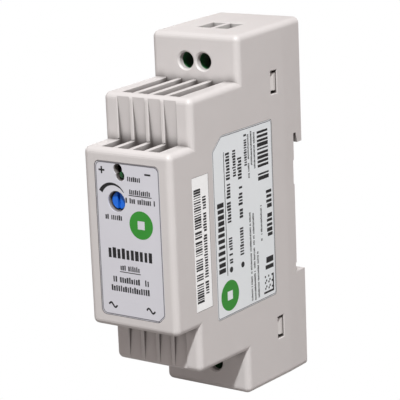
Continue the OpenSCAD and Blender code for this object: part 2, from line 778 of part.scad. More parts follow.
module input_fuse() {
    color([0.14, 0.14, 0.15]) {
        on_board(fuse_at) {
            translate([0, 0, 0.4]) cylinder(d = 8, h = 7);
            translate([0, 0, 7.4]) cylinder(d1 = 8, d2 = 7.2, h = 0.4);
        }
        leads(fuse_leads, 0.8);
    }
}

// A disc part that stands on edge, its faces slightly domed
module disc_part(d, t, h) {
    translate([0, 0, h + d / 2]) rotate([90, 0, 0]) intersection() {
        cylinder(d = d, h = t, center = true);
        sphere(d = 1.08 * d);
    }
}

module inrush_thermistor() {
    color([0.16, 0.2, 0.16]) {
        on_board(thermistor_at) disc_part(8.4, 3.6, 2);
        leads(thermistor_leads, 4);
    }
}

module surge_varistor() {
    color([0.12, 0.3, 0.6]) {
        on_board(varistor_at) rotate([0, 0, 90]) disc_part(7, 3.4, 2);
        leads(varistor_leads, 4);
    }
}

module isolation_capacitor() {
    color([0.16, 0.35, 0.72]) {
        on_board(isolation_at) disc_part(7, 3.4, 2);
        leads(isolation_leads, 4);
    }
}

module filter_capacitor() {
    color([0.85, 0.68, 0.12]) {
        difference() {
            on_board(filter_at) translate([-6.5, -2.5, 0.3]) cube([13, 5, 11]);
            on_board(filter_at) translate([-6, -2, 0]) cube([12, 4, 0.9]);
        }
        leads(filter_leads, 1.6);
    }
}

module snubber_resistor() {
    h = 2.4;
    color([0.45, 0.6, 0.7]) {
        on_board(snubber_at) translate([-2.4, 0, h]) rotate([0, 90, 0]) {
            cylinder(d = 2, h = 4.8);
            for (z = [0, 3.7]) translate([0, 0, z]) cylinder(d = 2.5, h = 1.1);
            translate([0, 0, -0.9]) cylinder(d = lead_d, h = 6.6, $fn = 24);
        }
        leads(snubber_leads, h + lead_d / 2);
    }
}

// Cross-section of the line choke's ring core, grown by g on each side
module ring_section(g) {
    translate([choke_ring[0] - g, choke_h[0] - g])
        square([choke_ring[1] - choke_ring[0] + 2 * g, choke_h[1] - choke_h[0] + 2 * g]);
}

module choke_core() {
    color([0.2, 0.5, 0.32]) on_board(choke_at) rotate_extrude() ring_section(0);
}

module choke_windings() {
    color([0.72, 0.38, 0.16]) {
        on_board(choke_at) for (turn = [15, 195])
            rotate([0, 0, turn]) rotate_extrude(angle = 150) difference() {
                ring_section(0.7);
                ring_section(0.05);
            }
        leads(choke_leads, 1.8);
    }
}

module choke_base() {
    color([0.15, 0.15, 0.16]) on_board(choke_at) {
        difference() {
            translate([-5, -4.9, 0.2]) cube([10, 9.8, 1]);
            for (p = rows([0, 0], 2, 7.4, 3.4))
                translate([p[0], p[1], -1]) cylinder(d = 1, h = 4, $fn = 24);
        }
        translate([-1.2, -0.5, 1]) cube([2.4, 1, 6]);
    }
}

module bridge_rectifier() {
    color([0.14, 0.14, 0.15]) {
        on_board(bridge_at) translate([-4.2, -2.9, 0.6]) cube([8.4, 5.8, 3.2]);
        dual_leads(bridge_leads, bridge_at, 2.7);
    }
}

// Bent leads of a dual in-line package
module dual_leads(places, at, inner) {
    h = 2.2;
    for (p = places) {
        s = p[1] > at[1] ? 1 : -1;
        z = [at[1] + s * inner, p[1] + s * lead_d / 2];
        rod(lead_d, [board_y - h, board_rear + lead_out], p[0], p[1], $fn = 24);
        span([p[0] - 0.5, p[0] + 0.5], [board_y - h - 0.3, board_y - h + 0.1], s > 0 ? z : [z[1], z[0]]);
    }
}

module switching_controller() {
    color([0.12, 0.12, 0.13]) {
        difference() {
            on_board(controller_at) translate([-4.7, -3.2, 0.6]) cube([9.4, 6.4, 3.3]);
            on_board(controller_at) translate([-4.7, 0, 3]) cylinder(d = 1.6, h = 2);
        }
        dual_leads(controller_leads, controller_at, 3);
    }
}

// An electrolytic capacitor in three pieces: can, printed sleeve and rubber bung
module can(at, d, h) {
    color([0.8, 0.81, 0.83]) on_board(at) difference() {
        translate([0, 0, 1.6]) cylinder(d = d - 0.4, h = h - 1.6);
        for (a = [0, 90]) rotate([0, 0, a]) translate([-d * 0.3, -0.12, h - 0.25]) cube([d * 0.6, 0.24, 1]);
    }
}

module sleeve(at, d, h) {
    on_board(at) difference() {
        translate([0, 0, 0.5]) cylinder(d = d, h = h - 0.4);
        translate([0, 0, -1]) cylinder(d = d - 0.3, h = h + 1);
        translate([0, 0, -1]) cylinder(d = d - 1.6, h = far);
    }
}

module bung(at, places, d) {
    on_board(at) translate([0, 0, 0.5]) cylinder(d = d - 0.7, h = 1);
    leads(places, 0.8);
}

module bulk_capacitor_can() {
    can(bulk_at, bulk_d, bulk_h);
}

module bulk_capacitor_sleeve() {
    color([0.1, 0.14, 0.3]) sleeve(bulk_at, bulk_d, bulk_h);
}

module output_capacitor_cans() {
    can(large_cap_at, large_cap[0], large_cap[1]);
    can(small_cap_at, small_cap[0], small_cap[1]);
}

module output_capacitor_sleeves() {
    color([0.13, 0.3, 0.2]) {
        sleeve(large_cap_at, large_cap[0], large_cap[1]);
        sleeve(small_cap_at, small_cap[0], small_cap[1]);
    }
}

module capacitor_bungs() {
    color([0.1, 0.1, 0.1]) {
        bung(bulk_at, bulk_leads, bulk_d);
        bung(large_cap_at, large_cap_leads, large_cap[0]);
        bung(small_cap_at, small_cap_leads, small_cap[0]);
    }
}

// One E half, drawn from its yoke to its leg ends, the centre leg short by the air gap
module core_half(gap) {
    leg_h = core_h / 2 - 0.02;
    translate([-core_half_x, -core_half_z, 0]) {
        cube([2 * core_half_x, 2 * core_half_z, yoke_t]);
        cube([yoke_t, 2 * core_half_z, leg_h]);
        translate([2 * core_half_x - yoke_t, 0, 0]) cube([yoke_t, 2 * core_half_z, leg_h]);
        translate([core_half_x - centre_half, 0, 0]) cube([2 * centre_half, 2 * core_half_z, leg_h - gap]);
    }
}

module transformer_core_rear() {
    color([0.22, 0.22, 0.23]) on_board(transformer_at) translate([0, 0, core_base]) core_half(0.1);
}

module transformer_core_front() {
    color([0.22, 0.22, 0.23]) on_board(transformer_at)
        translate([0, 0, core_base + core_h]) mirror([0, 0, 1]) core_half(0.1);
}

module transformer_bobbin() {
    hub = centre_half + 0.7;
    hub_z = core_half_z + 0.7;
    color([0.13, 0.13, 0.14]) {
        on_board(transformer_at) difference() {
            union() {
                for (h = [bobbin_h[0], bobbin_h[1] - flange_t])
                    translate([-6.9, -7, h]) cube([13.8, 14, flange_t]);
                translate([-hub, -hub_z, bobbin_h[0]])
                    cube([2 * hub, 2 * hub_z, bobbin_h[1] - bobbin_h[0]]);
                for (s = [-1, 1])
                    translate([-7.4, s * 6.2 - 1.2, 0.3]) cube([14.8, 2.4, bobbin_h[0] + 0.2]);
            }
            translate([-centre_half - 0.1, -core_half_z - 0.1, 0])
                cube([2 * centre_half + 0.2, 2 * core_half_z + 0.2, far]);
        }
        leads(transformer_leads, 1);
    }
}

// A rectangle centred on the bobbin, reaching x and z, with corners rounded by r
module wound_outline(x, z, r) {
    offset(r) square([2 * (x - r), 2 * (z - r)], center = true);
}

// Fills the bobbin between its flanges with a ring of the given outline
module between_flanges() {
    h = [bobbin_h[0] + flange_t + 0.05, bobbin_h[1] - flange_t - 0.05];
    on_board(transformer_at) translate([0, 0, h[0]]) linear_extrude(h[1] - h[0]) difference() {
        children(0);
        children(1);
    }
}

module transformer_winding() {
    inset = tape_t + 0.05;
    color([0.72, 0.4, 0.18]) between_flanges() {
        wound_outline(winding_x - inset, winding_z - inset, winding_r - inset);
        wound_outline(centre_half + 1.1, core_half_z + 1.1, 1);
    }
}

module transformer_tape() {
    color([0.88, 0.76, 0.2]) between_flanges() {
        wound_outline(winding_x, winding_z, winding_r);
        wound_outline(winding_x - tape_t, winding_z - tape_t, winding_r - tape_t);
    }
}

// Bent aluminium plate that cools the output diode
module heat_sink() {
    t = sink_x[1] - sink_x[0];
    color([0.78, 0.79, 0.8]) difference() {
        on_board([sink_x[0], diode_z]) {
            translate([0, -sink_half, 1]) cube([t, 2 * sink_half, sink_h - 1]);
            translate([0, -sink_half, sink_h - t]) cube([6.4, 2 * sink_half, t]);
        }
        translate([sink_x[0] - 1, board_y - sink_screw_h, diode_z]) rotate([0, 90, 0])
            cylinder(d = 3.1, h = 4);
    }
}

module heat_sink_screw() {
    color([0.7, 0.7, 0.72]) translate([sink_x[0] + 0.1, board_y - sink_screw_h, diode_z]) rotate([0, 90, 0])
        difference() {
            union() {
                cylinder(d = 3, h = sink_x[1] - sink_x[0] + 1.4);
                translate([0, 0, sink_x[1] - sink_x[0] + 1.25]) cylinder(d = 5.4, h = 1.8);
            }
            for (a = [0, 90]) rotate([0, 0, a]) translate([-1.4, -0.35, 3.6]) cube([2.8, 0.7, 2]);
        }
}

module output_diode_tab() {
    x = [sink_x[1] + 0.02, sink_x[1] + 1.3];
    color([0.76, 0.76, 0.78]) difference() {
        span(x, [board_y - 20.4, board_y - 5.2], [diode_z - 4.95, diode_z + 4.95]);
        translate([x[0] - 1, board_y - sink_screw_h, diode_z]) rotate([0, 90, 0])
            cylinder(d = 3.7, h = 4);
    }
}

module output_diode_body() {
    x = [sink_x[1] + 1.32, sink_x[1] + 4.4];
    color([0.13, 0.13, 0.14]) {
        span(x, [board_y - 14, board_y - 5], [diode_z - 5, diode_z + 5]);
        leads(diode_leads, 5.4);
    }
}

module output_choke() {
    color([0.3, 0.2, 0.14]) {
        on_board(output_choke_at) {
            translate([0, 0, 0.4]) cylinder(d = 3.8, h = 1);
            translate([0, 0, 1.2]) cylinder(d = 3.3, h = 7);
            translate([0, 0, 8]) cylinder(d = 3.8, h = 1);
        }
        leads(output_choke_leads, 0.8);
    }
}

housing_cover();
rear_base();
rail_latch();
latch_spring();
front_label();
rating_label();
serial_label();
main_board();
control_board();
solder_joints();
chip_resistors();
chip_capacitors();
color([0.1, 0.45, 0.2]) terminal_block();  // output_terminal_block
color([0.1, 0.45, 0.2]) at_bottom() terminal_block();  // input_terminal_block
color([0.8, 0.8, 0.76]) for (s = [-1, 1]) contact(s);  // output_contacts
color([0.8, 0.8, 0.76]) at_bottom() for (s = [-1, 1]) contact(s);  // input_contacts
clamp_screw(-1);  // output_screw_left
clamp_screw(1);  // output_screw_right
at_bottom() clamp_screw(-1);  // input_screw_left
at_bottom() clamp_screw(1);  // input_screw_right
clamp_cage(-1);  // output_clamp_left
clamp_cage(1);  // output_clamp_right
at_bottom() clamp_cage(-1);  // input_clamp_left
at_bottom() clamp_cage(1);  // input_clamp_right
trimmer_body();
trimmer_rotor();
status_lamp();
optocoupler();
voltage_reference();
input_fuse();
inrush_thermistor();
surge_varistor();
filter_capacitor();
isolation_capacitor();
choke_core();
choke_windings();
choke_base();
bridge_rectifier();
bulk_capacitor_can();
bulk_capacitor_sleeve();
capacitor_bungs();
switching_controller();
snubber_resistor();
transformer_core_rear();
transformer_core_front();
transformer_bobbin();
transformer_winding();
transformer_tape();
heat_sink();
heat_sink_screw();
output_diode_body();
output_diode_tab();
output_capacitor_cans();
output_capacitor_sleeves();
output_choke();
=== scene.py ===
# A narrow power supply module for a 35 mm rail: a two-piece moulded housing with a sprung foot,
# three labels, screw terminals at both ends, a trimmer and a lamp, and the circuit inside.
import math

import bmesh
import bpy
from mathutils import Matrix, Vector


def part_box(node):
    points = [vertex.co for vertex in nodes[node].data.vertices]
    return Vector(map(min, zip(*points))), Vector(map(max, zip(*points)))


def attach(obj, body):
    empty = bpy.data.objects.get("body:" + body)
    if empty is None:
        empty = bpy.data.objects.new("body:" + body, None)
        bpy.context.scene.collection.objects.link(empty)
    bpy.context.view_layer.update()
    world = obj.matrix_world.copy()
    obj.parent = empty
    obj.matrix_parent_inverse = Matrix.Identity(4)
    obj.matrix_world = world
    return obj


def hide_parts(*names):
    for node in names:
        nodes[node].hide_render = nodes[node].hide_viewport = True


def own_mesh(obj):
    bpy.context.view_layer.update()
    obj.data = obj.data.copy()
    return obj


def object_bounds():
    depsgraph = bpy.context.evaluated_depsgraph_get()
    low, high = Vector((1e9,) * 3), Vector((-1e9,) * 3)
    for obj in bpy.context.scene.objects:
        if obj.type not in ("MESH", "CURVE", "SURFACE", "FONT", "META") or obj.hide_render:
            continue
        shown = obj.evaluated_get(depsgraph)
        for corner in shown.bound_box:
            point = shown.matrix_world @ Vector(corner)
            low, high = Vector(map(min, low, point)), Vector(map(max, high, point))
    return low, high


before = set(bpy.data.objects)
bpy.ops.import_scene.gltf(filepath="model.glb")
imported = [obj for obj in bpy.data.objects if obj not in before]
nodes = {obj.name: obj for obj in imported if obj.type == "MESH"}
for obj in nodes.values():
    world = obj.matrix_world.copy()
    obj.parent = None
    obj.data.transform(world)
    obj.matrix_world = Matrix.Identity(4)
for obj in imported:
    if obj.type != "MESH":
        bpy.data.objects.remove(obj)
cad_low, cad_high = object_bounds()
mm = 0.001


# Housing cover: one shell of light warm grey ABS, injection moulded in a spark-eroded tool, so
# that its skin has a fine even grain and a satin sheen. Its side walls close round the base and
# snap on.
def linear(hex_colour):
    """An sRGB hex colour as the linear RGBA that shaders take."""
    channels = [int(hex_colour[i : i + 2], 16) / 255 for i in (1, 3, 5)]
    return [c / 12.92 if c <= 0.04045 else ((c + 0.055) / 1.055) ** 2.4 for c in channels] + [1]


def add_node(tree, kind, sockets=None, **settings):
    """Adds a node with its settings. A socket takes a value, or a link if it is given a socket."""
    made = tree.nodes.new(kind)
    for name, value in settings.items():
        setattr(made, name, value)
    for name, value in (sockets or {}).items():
        if isinstance(value, bpy.types.NodeSocket):
            tree.links.new(value, made.inputs[name])
        else:
            made.inputs[name].default_value = value
    return made


def start_material(name, colour, **sockets):
    """A material with its shader, and the place in the object that its patterns are drawn on."""
    made = bpy.data.materials.new(name)
    made.use_nodes = True
    tree = made.node_tree
    tree.nodes.clear()
    values = {"Base Color": linear(colour), **sockets}
    shader = add_node(tree, "ShaderNodeBsdfPrincipled", values)
    add_node(tree, "ShaderNodeOutputMaterial", {"Surface": shader.outputs["BSDF"]})
    place = add_node(tree, "ShaderNodeTexCoord").outputs["Object"]
    return made, tree, shader, place


# Sockets of the Mix node when it mixes colours, where the names alone are not unique
MIX_FIRST, MIX_SECOND, MIX_RESULT = 6, 7, 2


def vary_skin(tree, shader, place, colours, mottle_mm, sheen, grain_mm, depth_mm):
    """Slow drift of colour and roughness over a surface, and a fine grain raised by depth_mm."""
    drift = add_node(
        tree,
        "ShaderNodeTexNoise",
        {"Vector": place, "Scale": 1 / (mottle_mm * mm), "Detail": 3.0, "Roughness": 0.55},
    ).outputs["Fac"]
    pair = {MIX_FIRST: linear(colours[0]), MIX_SECOND: linear(colours[1])}
    tint = add_node(tree, "ShaderNodeMix", {"Factor": drift, **pair}, data_type="RGBA")
    tree.links.new(tint.outputs[MIX_RESULT], shader.inputs["Base Color"])
    rough = add_node(
        tree,
        "ShaderNodeMapRange",
        {"Value": drift, "From Min": 0.3, "From Max": 0.7, "To Min": sheen[0], "To Max": sheen[1]},
    )
    tree.links.new(rough.outputs["Result"], shader.inputs["Roughness"])
    grain = add_node(
        tree,
        "ShaderNodeTexNoise",
        {"Vector": place, "Scale": 1 / (grain_mm * mm), "Detail": 2.0, "Roughness": 0.5},
    )
    raised = add_node(
        tree, "ShaderNodeBump", {"Height": grain.outputs["Fac"], "Distance": depth_mm * mm}
    )
    tree.links.new(raised.outputs["Normal"], shader.inputs["Normal"])


def dress(material, *names):
    """Gives CAD nodes their material."""
    for name in names:
        for slot in nodes[name].material_slots:
            slot.material = material


def moulded(name, colours, sheen, grain_mm=0.3, depth_mm=0.01, mottle_mm=9, ior=1.53):
    """A moulded plastic with the grain of its tool, drawn a little coarser than real to show."""
    made, tree, shader, place = start_material(name, colours[0], IOR=ior)
    vary_skin(tree, shader, place, colours, mottle_mm, sheen, grain_mm, depth_mm)
    return made


def overlay(tree, shader, factor, colour):
    """Lays a colour over the shader's present one, as far as the factor says."""
    below = shader.inputs["Base Color"].links[0].from_socket
    pair = {MIX_FIRST: below, MIX_SECOND: linear(colour)}
    tint = add_node(tree, "ShaderNodeMix", {"Factor": factor, **pair}, data_type="RGBA")
    tree.links.new(tint.outputs[MIX_RESULT], shader.inputs["Base Color"])


def paint_crevice_shade(material, reach_mm, shade_colour, strength):
    """Paints shade into grooves and bores: darkens the colour with depth, as ambient occlusion
    reads it.
    """
    tree = material.node_tree
    reach = {"Distance": reach_mm * mm}
    openness = add_node(tree, "ShaderNodeAmbientOcclusion", reach, samples=12).outputs["AO"]
    span = {"From Min": 0.36, "From Max": 0.9, "To Min": strength, "To Max": 0.0}
    closed = add_node(tree, "ShaderNodeMapRange", {"Value": openness, **span})
    overlay(tree, tree.nodes["Principled BSDF"], closed.outputs["Result"], shade_colour)


cover_abs = moulded("abs_light_warm_grey", ("#CCC7C6", "#D1CCCB"), (0.42, 0.5))
# Painted shade: the cover's grooves and bores are darkened with depth towards a dark grey.
paint_crevice_shade(cover_abs, 3.5, "#463F3C", 0.95)
dress(cover_abs, "housing_cover")

# Rear base: a second moulding of the same ABS from a smoother tool. It carries the rail channel,
# and its four arms click into the windows in the cover's sides.
dress(moulded("abs_base_grey", ("#C8C3C1", "#CCC7C5"), (0.36, 0.46), depth_mm=0.006), "rear_base")

# Foot: glass-filled black nylon, moulded, with the dull, slightly streaky skin that glass gives.
# It slides in the base's channel.
dress(
    moulded("nylon_glass_filled_black", ("#1E1E21", "#2B2B2F"), (0.45, 0.62), mottle_mm=3),
    "rail_latch",
)


# Foot spring: bright drawn steel wire wound in turns with closed ends. It stands on a post of the
# base inside the foot, which squeezes it by its 4 mm travel when it is pulled down.
def bare_metal(name, colours, sheen, line_mm=0.1, depth_mm=0.003, stretch=(1, 1, 0.08)):
    """A bare metal with fine lines from drawing, rolling or turning along its stretched axis."""
    made, tree, shader, place = start_material(name, colours[0], Metallic=1.0)
    along = add_node(tree, "ShaderNodeMapping", {"Vector": place, "Scale": stretch})
    skin, mottle_mm = along.outputs["Vector"], 15 * line_mm
    vary_skin(tree, shader, skin, colours, mottle_mm, sheen, line_mm, depth_mm)
    return made


def coil_mesh(radius, wire, length, turns, closed):
    """A wire wound round Z from the origin up, with this many closed turns at each end."""
    shape = bmesh.new()
    per_turn, sides = 28, 10
    open_rise = (length - 2 * wire - 4 * wire * closed) / (turns - 2 * closed)
    rings = []
    for i in range(turns * per_turn + 1):
        turn = i / per_turn
        low, high = min(turn, closed), max(turn - turns + closed, 0)
        z = wire + 2 * wire * (low + high) + open_rise * (turn - low - high)
        angle = math.tau * turn
        ring = []
        for j in range(sides):
            tilt = math.tau * j / sides
            reach = radius + wire * math.cos(tilt)
            place = (reach * math.cos(angle), reach * math.sin(angle), z + wire * math.sin(tilt))
            ring.append(shape.verts.new(Vector(place) * mm))
        rings.append(ring)
    for low, high in zip(rings, rings[1:]):
        for j in range(sides):
            k = (j + 1) % sides
            shape.faces.new((low[j], low[k], high[k], high[j])).smooth = True
    shape.faces.new(rings[0])
    shape.faces.new(reversed(rings[-1]))
    bmesh.ops.recalc_face_normals(shape, faces=shape.faces)
    made = bpy.data.meshes.new("coil")
    shape.to_mesh(made)
    shape.free()
    return made


spring_low, spring_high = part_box("latch_spring")
spring_length = spring_high.z - spring_low.z
spring_foot = Vector((0, (spring_low.y + spring_high.y) / 2, spring_low.z))
FOOT_TRAVEL = 4
WIRE, TURNS, CLOSED_TURNS = 0.25, 7, 0.8
barrel = (spring_high.x - spring_low.x) / 2 / mm - WIRE
spring_mesh = coil_mesh(barrel, WIRE, spring_length / mm, TURNS, CLOSED_TURNS)
spring_mesh.transform(Matrix.Translation(spring_foot))
drawn_wire = bare_metal("spring_steel_drawn", ("#9DA0A4", "#B7BABE"), (0.2, 0.34))
spring_mesh.materials.append(drawn_wire)
spring = bpy.data.objects.new("foot_spring", spring_mesh)
bpy.context.scene.collection.objects.link(spring)
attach(spring, "housing")
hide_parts("latch_spring")
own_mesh(spring)

# Front label: satin silver-grey polyester film, screen printed and die-cut, stuck in a shallow
# recess. Its print is a few microns of ink, here a thin raised layer. It has no wording: short
# strokes stand for lines of print, and the poles have plain signs.
film = moulded("polyester_film_silver", ("#D1D0D7", "#D6D5DC"), (0.3, 0.36), 0.5, 0.002, 14)
dress(film, "front_label")

INK_SUNK = 0.01 * mm
INK_PROUD = 0.015 * mm


def ink(name, colours):
    """A printing ink, a little uneven as it dries."""
    return moulded(name, colours, (0.4, 0.5), 0.2, 0.001, 1.5)


def printed_row_tree():
    """Strokes of ink side by side along X, of uneven width and height, with gaps between some."""
    tree = bpy.data.node_groups.new("printed_row", "GeometryNodeTree")
    sockets = tree.interface
    sockets.new_socket("Geometry", in_out="OUTPUT", socket_type="NodeSocketGeometry")
    for name in ("Length", "Height", "Pitch", "Thinnest", "Thickest", "Shortest", "Gaps"):
        sockets.new_socket(name, in_out="INPUT", socket_type="NodeSocketFloat")
    sockets.new_socket("Seed", in_out="INPUT", socket_type="NodeSocketInt")
    sockets.new_socket("Ink", in_out="INPUT", socket_type="NodeSocketMaterial")
    given = add_node(tree, "NodeGroupInput").outputs
    strokes = add_node(
        tree, "ShaderNodeMath", {0: given["Length"], 1: given["Pitch"]}, operation="DIVIDE"
    )
    step = add_node(tree, "ShaderNodeCombineXYZ", {"X": given["Pitch"]})
    half_step = add_node(
        tree, "ShaderNodeVectorMath", {0: step.outputs[0], "Scale": 0.5}, operation="SCALE"
    )
    line = add_node(
        tree,
        "GeometryNodeMeshLine",
        {
            "Count": strokes.outputs[0],
            "Start Location": half_step.outputs[0],
            "Offset": step.outputs[0],
        },
        mode="OFFSET",
    )
    gap = add_node(
        tree,
        "FunctionNodeRandomValue",
        {"Probability": given["Gaps"], "Seed": given["Seed"]},
        data_type="BOOLEAN",
    )
    kept = add_node(
        tree,
        "GeometryNodeDeleteGeometry",
        {"Geometry": line.outputs["Mesh"], "Selection": gap.outputs[3]},
    )
    sizes = {"Z": INK_SUNK + INK_PROUD}
    for axis, low, high, full, own_seed in (
        ("X", given["Thinnest"], given["Thickest"], given["Pitch"], 7.0),
        ("Y", given["Shortest"], 1.0, given["Height"], 8.0),
    ):
        seed = add_node(
            tree, "ShaderNodeMath", {0: given["Seed"], 1: own_seed}, operation="ADD"
        )
        share = add_node(
            tree, "FunctionNodeRandomValue", {2: low, 3: high, "Seed": seed.outputs[0]}
        )
        sizes[axis] = add_node(
            tree, "ShaderNodeMath", {0: share.outputs[1], 1: full}, operation="MULTIPLY"
        ).outputs[0]
    size = add_node(tree, "ShaderNodeCombineXYZ", sizes)
    lift = add_node(
        tree,
        "ShaderNodeVectorMath",
        {0: size.outputs[0], 1: (0, 0.5, 0)},
        operation="MULTIPLY",
    )
    lifted = add_node(
        tree,
        "GeometryNodeSetPosition",
        {"Geometry": kept.outputs[0], "Offset": lift.outputs[0]},
    )
    stroke = add_node(tree, "GeometryNodeMeshCube", {"Size": (1, 1, 1)}).outputs["Mesh"]
    placed = add_node(
        tree,
        "GeometryNodeInstanceOnPoints",
        {"Points": lifted.outputs[0], "Instance": stroke, "Scale": size.outputs[0]},
    )
    whole = add_node(tree, "GeometryNodeRealizeInstances", {"Geometry": placed.outputs[0]})
    inked = add_node(
        tree,
        "GeometryNodeSetMaterial",
        {"Geometry": whole.outputs[0], "Material": given["Ink"]},
    )
    add_node(tree, "NodeGroupOutput", {"Geometry": inked.outputs[0]})
    return tree


def grow(tree, **values):
    """The plain mesh that a tree makes with these inputs."""
    seed_mesh = bpy.data.meshes.new("seed")
    holder = bpy.data.objects.new("seed", seed_mesh)
    bpy.context.scene.collection.objects.link(holder)
    modifier = holder.modifiers.new("grow", "NODES")
    modifier.node_group = tree
    for item in tree.interface.items_tree:
        if item.in_out == "INPUT":
            modifier[item.identifier] = values[item.name]
    graph = bpy.context.evaluated_depsgraph_get()
    made = bpy.data.meshes.new_from_object(holder.evaluated_get(graph))
    bpy.data.objects.remove(holder)
    return made


printed_row = printed_row_tree()
STROKES = {
    # pitch as a share of the height, thinnest and thickest stroke, shortest stroke, share of gaps
    "small": (0.44, 0.5, 0.8, 0.74, 0.1),
    "bold": (0.5, 0.5, 0.85, 0.84, 0.04),
    "bars": (0.22, 0.3, 0.96, 1.0, 0.1),
}


def row(length, height, kind, seed, material):
    """A printed line: length and height in mm, drawn from the origin along X."""
    pitch, thin, thick, short, gaps = STROKES[kind]
    return grow(
        printed_row,
        Length=length * mm,
        Height=height * mm,
        Pitch=pitch * height * mm,
        Thinnest=thin,
        Thickest=thick,
        Shortest=short,
        Gaps=gaps,
        Seed=seed,
        Ink=material,
    )


def plate(points, material):
    """A flat patch of ink with this outline, in mm, anticlockwise."""
    shape = bmesh.new()
    rings = [
        [shape.verts.new((x * mm, y * mm, level)) for x, y in points]
        for level in (-INK_SUNK, INK_PROUD)
    ]
    shape.faces.new(reversed(rings[0]))
    shape.faces.new(rings[1])
    for i in range(len(points)):
        j = (i + 1) % len(points)
        shape.faces.new((rings[0][i], rings[0][j], rings[1][j], rings[1][i]))
    made = bpy.data.meshes.new("plate")
    shape.to_mesh(made)
    shape.free()
    made.materials.append(material)
    return made


def box_outline(width, height):
    """The corners of a centred rectangle."""
    w, h = width / 2, height / 2
    return [(-w, -h), (w, -h), (w, h), (-w, h)]


def stripe(edges, material, closed):
    """A stripe of ink between two edges, given as pairs of points in mm, or a ring if closed."""
    shape = bmesh.new()
    count = len(edges)
    spans = [
        [
            shape.verts.new((x * mm, y * mm, level))
            for level in (-INK_SUNK, INK_PROUD)
            for x, y in pair
        ]
        for pair in edges
    ]
    for i in range(count if closed else count - 1):
        a, b = spans[i], spans[(i + 1) % count]
        for p, q in ((0, 1), (1, 3), (3, 2), (2, 0)):
            shape.faces.new((a[p], a[q], b[q], b[p]))
    if not closed:
        for end in (spans[0], spans[-1]):
            shape.faces.new((end[0], end[1], end[3], end[2]))
    bmesh.ops.recalc_face_normals(shape, faces=shape.faces)
    made = bpy.data.meshes.new("stripe")
    shape.to_mesh(made)
    shape.free()
    made.materials.append(material)
    return made


def ribbon(path, widths, material, closed=False):
    """A stripe of ink along a path, in mm, as wide at each point as widths says."""
    count = len(path)
    edges = []
    for i, (x, y) in enumerate(path):
        before = Vector(path[i - 1] if closed or i else path[0])
        after = Vector(path[(i + 1) % count] if closed or i + 1 < count else path[-1])
        side = (after - before).orthogonal().normalized() * widths[i] / 2
        edges.append([(x - side.x, y - side.y), (x + side.x, y + side.y)])
    return stripe(edges, material, closed)


def border(width, height, radius, cut_corner, cut, line):
    """A grey ring of painted shade round a label's edge, of rounded corners numbered from the
    lower right, with one cut off.
    """
    path = []
    for corner, (sx, sy) in enumerate(((1, -1), (1, 1), (-1, 1), (-1, -1))):
        x, y = sx * width / 2, sy * height / 2
        if corner == cut_corner:
            ends = [(x, y - sy * cut[1]), (x - sx * cut[0], y)]
            path += ends if sx * sy > 0 else ends[::-1]
            continue
        for step in range(7):
            angle = math.radians(-90 + 90 * corner + 15 * step)
            across = x - sx * radius + radius * math.cos(angle)
            path.append((across, y - sy * radius + radius * math.sin(angle)))
    return ribbon(path, [line] * len(path), edge_shade_ink, closed=True)


def print_on(name, material, prints):
    """Joins prints in one ink, each with its place, into one piece on the housing."""
    shape = bmesh.new()
    for mesh, place in prints:
        mesh.transform(place)
        shape.from_mesh(mesh)
    for face in shape.faces:
        face.material_index = 0
    made = bpy.data.meshes.new(name)
    shape.to_mesh(made)
    shape.free()
    made.materials.append(material)
    piece = bpy.data.objects.new(name, made)
    bpy.context.scene.collection.objects.link(piece)
    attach(piece, "housing")


front_low, front_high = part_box("front_label")
label_middle = (front_low.z + front_high.z) / 2


def on_front(x, z):
    """A place on the front label for print, x across and z up from its middle, in mm."""
    turn = Matrix.Rotation(math.radians(90), 4, "X")
    return Matrix.Translation((x * mm, front_low.y, label_middle + z * mm)) @ turn


black_ink = ink("screen_ink_black", ("#17171A", "#1F1F22"))
# The grey is painted shade: a line round the labels' edges for the shadow in the gap of their
# recesses.
edge_shade_ink = ink("painted_edge_shade_grey", ("#6A696F", "#727177"))
green_ink = ink("screen_ink_green", ("#2E8B2B", "#369333"))
FRONT_ROWS = (
    # start x, foot z, length, height, strokes
    (-0.6, 14.35, 4.7, 1.25, "small"),
    (0.4, 11.3, 6.4, 1.25, "small"),
    (-0.8, 9.2, 8.6, 1.3, "small"),
    (-6.9, 4.75, 5.9, 1.25, "small"),
    (-6.7, -4.45, 13.3, 2.6, "bold"),
    (-3.3, -7.2, 5.9, 1.3, "small"),
    (-5.6, -10.25, 10.6, 1.5, "small"),
    (-6.2, -12.45, 11.8, 1.5, "small"),
)
FRONT_SEED = 11
front_marks = [
    (row(length, height, kind, FRONT_SEED + i, black_ink), on_front(x, z))
    for i, (x, z, length, height, kind) in enumerate(FRONT_ROWS)
]
for x, z, length in ((0.3, 10.95, 6.5), (-3.4, -7.7, 6.0)):
    underline = plate([(0, 0), (length, 0), (length, 0.2), (0, 0.2)], black_ink)
    front_marks.append((underline, on_front(x, z)))

# Signs at the terminals: plus and minus above, a wave for alternating current at both poles below.
SIGN, SIGN_LINE, POLE_Z, WAVE_Z = 1.7, 0.42, 16.35, -16
for x in (-7.3, 5.9):
    front_marks.append((plate(box_outline(SIGN, SIGN_LINE), black_ink), on_front(x, POLE_Z)))
front_marks.append((plate(box_outline(SIGN_LINE, SIGN), black_ink), on_front(-7.3, POLE_Z)))
WAVE_STEPS, WAVE_WIDTH, WAVE_HEIGHT = 20, 2.4, 0.55
wave = [
    (WAVE_WIDTH * (i / WAVE_STEPS - 0.5), WAVE_HEIGHT * math.sin(math.tau * i / WAVE_STEPS))
    for i in range(WAVE_STEPS + 1)
]
for x in (-5.9, 5.1):
    front_marks.append((ribbon(wave, [SIGN_LINE] * len(wave), black_ink), on_front(x, WAVE_Z)))

